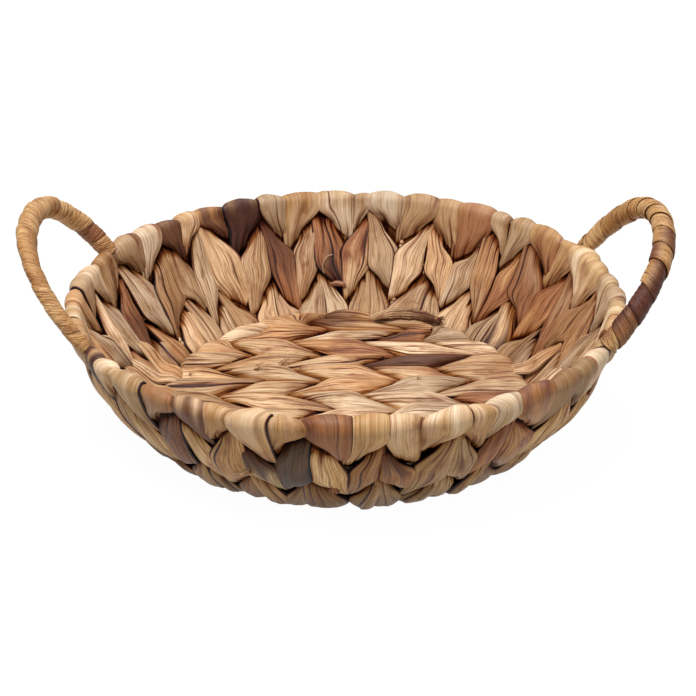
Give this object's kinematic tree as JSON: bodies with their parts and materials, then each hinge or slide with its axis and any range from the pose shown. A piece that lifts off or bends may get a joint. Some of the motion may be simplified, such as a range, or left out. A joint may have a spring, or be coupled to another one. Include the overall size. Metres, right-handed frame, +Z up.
{
  "type": "water hyacinth basket",
  "caption": "Round, shallow basket twined from flattened water hyacinth stems over a welded wire frame, with a wrapped upright handle at each end.",
  "frame": {"origin": "middle of the basket's round foot, on the surface that it stands on", "axes": "+X towards one handle, along the longest side; +Z up, out of the basket's mouth"},
  "size_m": [0.4004, 0.3456, 0.1341],
  "materials": {
    "steel_wire": "drawn mild steel wire, dull grey",
    "hyacinth_handle": "dried water hyacinth, flattened strip wound tight, satin",
    "hyacinth_floor": "dried water hyacinth, flattened stems, satin with lengthwise creases",
    "hyacinth_wall": "dried water hyacinth, flattened stems, satin with lengthwise creases"
  },
  "bodies": {
    "root": {"rim_ring": "steel_wire", "middle_ring_and_uprights": "steel_wire", "base_ring": "steel_wire", "floor_wire_1": "steel_wire", "floor_wire_2": "steel_wire", "floor_wire_3": "steel_wire", "floor_wire_4": "steel_wire", "floor_wire_5": "steel_wire", "handle_hoop_right": "steel_wire", "handle_hoop_left": "steel_wire", "handle_wrap_right": "hyacinth_handle", "handle_wrap_left": "hyacinth_handle", "floor_row_01": "hyacinth_floor", "floor_row_02": "hyacinth_floor", "floor_row_03": "hyacinth_floor", "floor_row_04": "hyacinth_floor", "floor_row_05": "hyacinth_floor", "floor_row_06": "hyacinth_floor", "floor_row_07": "hyacinth_floor", "floor_row_08": "hyacinth_floor", "floor_row_09": "hyacinth_floor", "floor_row_10": "hyacinth_floor", "floor_row_11": "hyacinth_floor", "floor_row_12": "hyacinth_floor", "wall_plait_01": "hyacinth_wall", "wall_plait_02": "hyacinth_wall", "wall_plait_03": "hyacinth_wall", "wall_plait_04": "hyacinth_wall", "wall_plait_05": "hyacinth_wall", "wall_plait_06": "hyacinth_wall", "wall_plait_07": "hyacinth_wall", "wall_plait_08": "hyacinth_wall", "wall_plait_09": "hyacinth_wall", "wall_plait_10": "hyacinth_wall", "wall_plait_11": "hyacinth_wall", "wall_plait_12": "hyacinth_wall", "wall_plait_13": "hyacinth_wall", "wall_plait_14": "hyacinth_wall", "wall_plait_15": "hyacinth_wall", "wall_plait_16": "hyacinth_wall", "wall_plait_17": "hyacinth_wall", "wall_plait_18": "hyacinth_wall", "wall_plait_19": "hyacinth_wall", "wall_plait_20": "hyacinth_wall", "wall_plait_21": "hyacinth_wall", "wall_plait_22": "hyacinth_wall", "wall_plait_23": "hyacinth_wall", "wall_plait_24": "hyacinth_wall", "wall_plait_25": "hyacinth_wall"}
  },
  "joints": []
}
